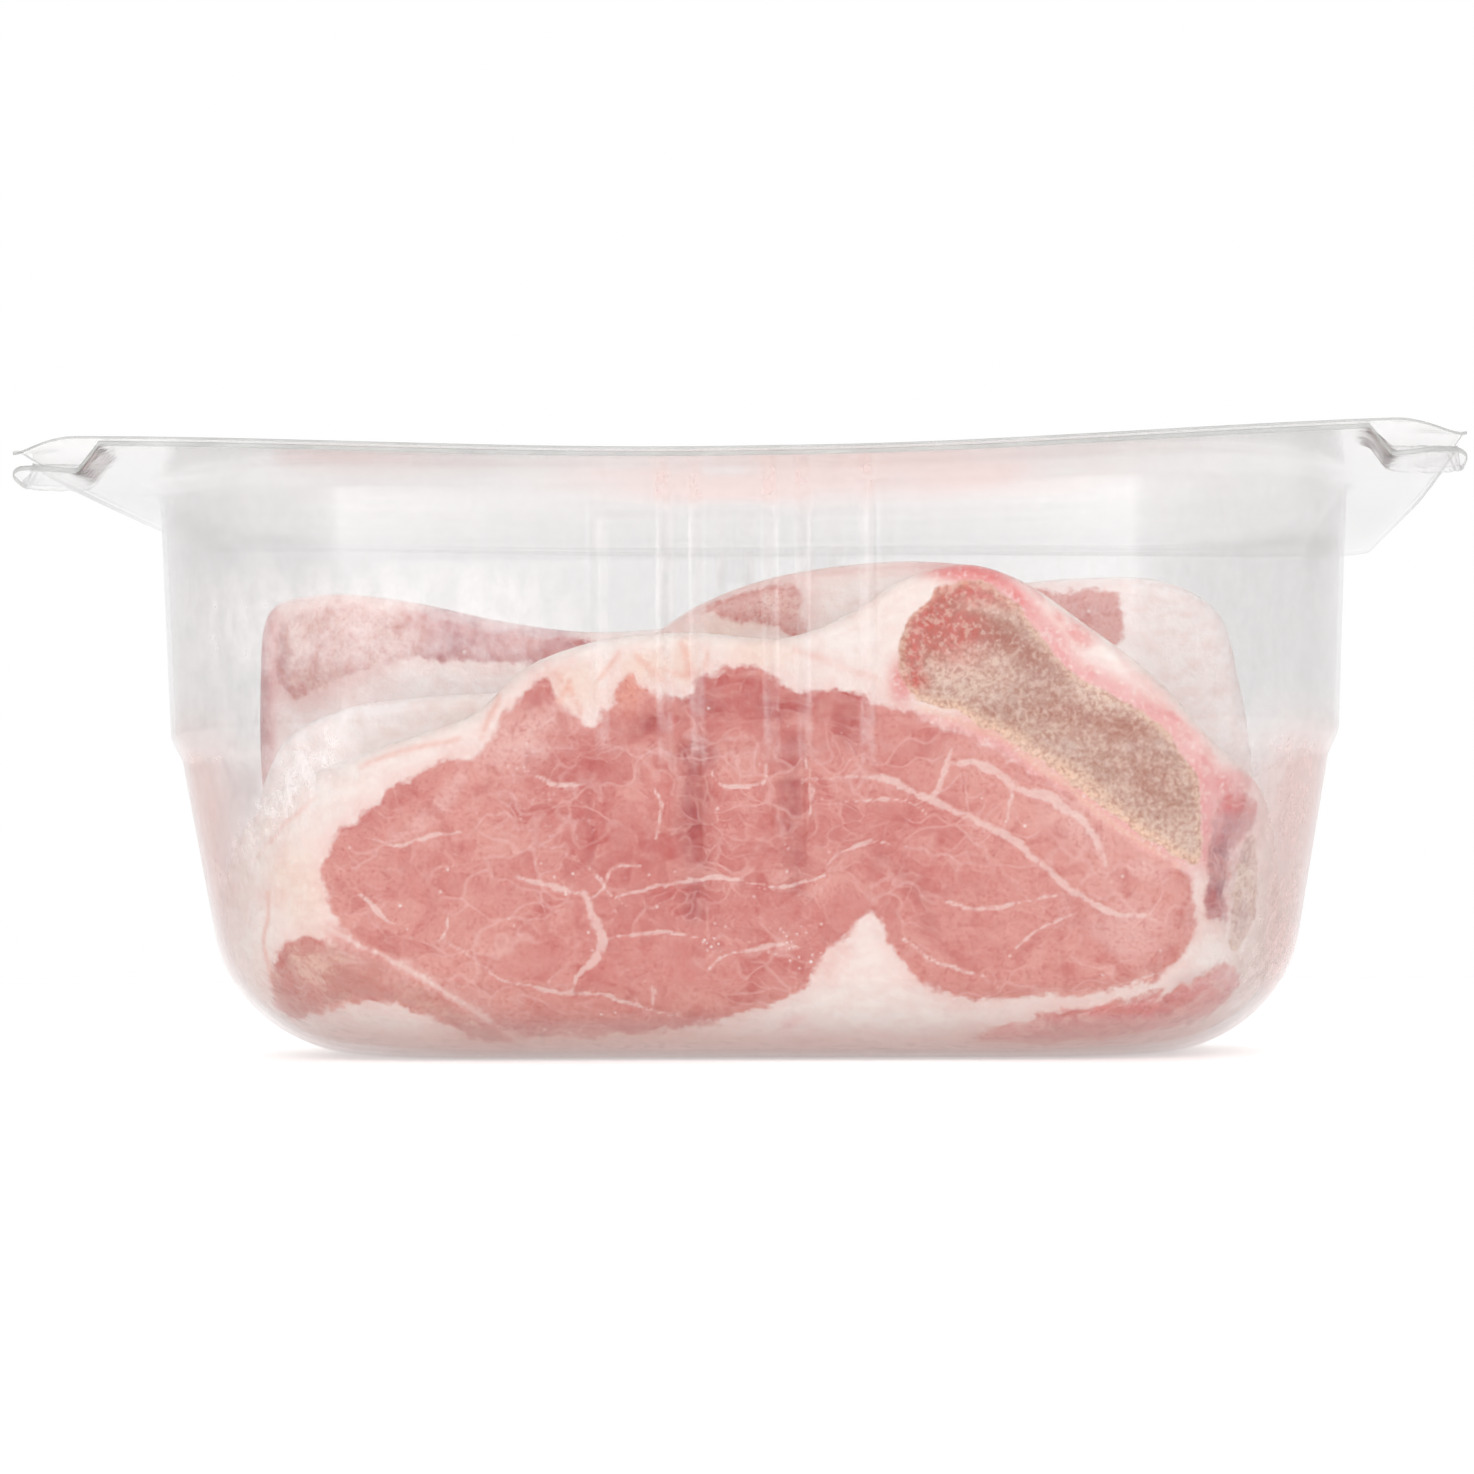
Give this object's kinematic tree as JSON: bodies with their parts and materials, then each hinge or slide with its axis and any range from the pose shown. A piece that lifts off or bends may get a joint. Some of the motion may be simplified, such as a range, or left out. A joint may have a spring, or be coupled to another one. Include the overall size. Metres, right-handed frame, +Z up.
{
  "type": "meat tray pack",
  "caption": "Sealed clear plastic tray with a wide flange and a film lid, packed with thick bone-in pork chops that stand on edge one behind another.",
  "frame": {"origin": "under the middle of the tray, on the surface it stands on", "axes": "+Z up; +X along the tray's long side; the front, where the thick end of the bone is on the right, looks along -Y"},
  "size_m": [0.233, 0.15, 0.1013],
  "materials": {
    "clear_plastic": "clear, glossy",
    "clear_film": "clear film, glossy",
    "fat": "moist fat, pale and slightly glossy",
    "lean": "moist raw lean meat",
    "dark_lean": "moist raw lean meat, darker",
    "bone": "sawn bone, porous"
  },
  "bodies": {
    "root": {"tray": "clear_plastic", "lid_film": "clear_film", "front_chop_fat": "fat", "front_chop_eye": "lean", "front_chop_flank": "lean", "front_chop_belly": "lean", "front_chop_bone": "bone", "front_chop_collar": "dark_lean", "front_chop_spur": "bone", "second_chop_fat": "fat", "second_chop_eye": "lean", "second_chop_cap": "lean", "second_chop_bone": "bone", "third_chop_fat": "fat", "third_chop_eye": "dark_lean", "third_chop_cap": "dark_lean", "third_chop_bone": "bone", "third_chop_tail": "dark_lean", "back_chop_fat": "fat", "back_chop_eye": "lean", "back_chop_bone": "bone"}
  },
  "joints": []
}
